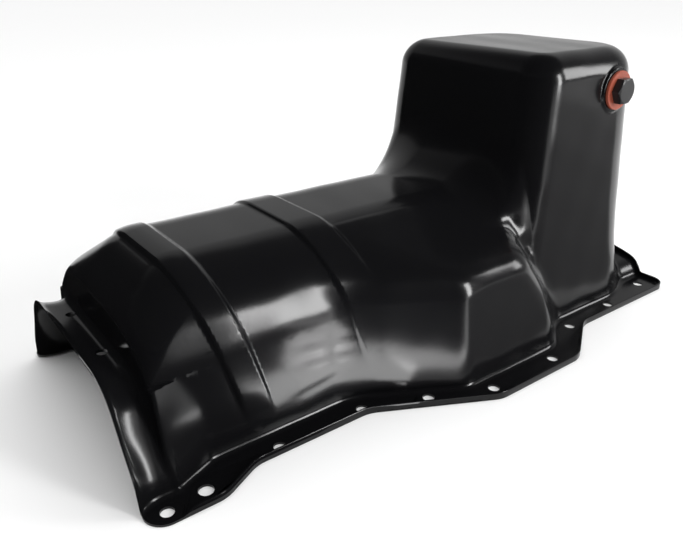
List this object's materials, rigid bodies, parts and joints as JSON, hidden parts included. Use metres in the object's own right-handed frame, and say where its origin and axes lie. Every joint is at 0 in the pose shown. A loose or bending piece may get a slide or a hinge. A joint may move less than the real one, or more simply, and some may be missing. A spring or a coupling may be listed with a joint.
{
  "type": "engine oil pan",
  "caption": "Pressed steel engine oil pan with a deep rear sump, an arched front seal seat, a side bulge and a drain plug with washer.",
  "frame": {"origin": "on the mating face, midway between the two front bolts", "axes": "+X from the arched front end to the sump, +Y to the side without the bulge, +Z from the mating face to the sump's crown"},
  "size_m": [0.513, 0.2695, 0.218],
  "materials": {
    "black_paint": "gloss",
    "plug_steel": "satin",
    "washer_seal": "satin"
  },
  "bodies": {
    "pan": {"pan_shell": "black_paint", "drain_nut": "black_paint"},
    "washer": {"plug_washer": "washer_seal"},
    "plug": {"drain_plug": "plug_steel"}
  },
  "joints": [
    {"name": "plug_out", "type": "slide", "parent": "pan", "child": "washer", "axis": [0, -1, 0], "range_m": [0, 0.0135]},
    {"name": "plug_turn", "type": "hinge", "parent": "washer", "child": "plug", "pos_m": [0.4132, -0.088, 0.187], "axis": [0, -1, 0], "range_deg": [0, 3240]}
  ],
  "couplings": [
    {"joint": "plug_turn", "follows": "plug_out", "rad_per_m": 4188.8}
  ]
}
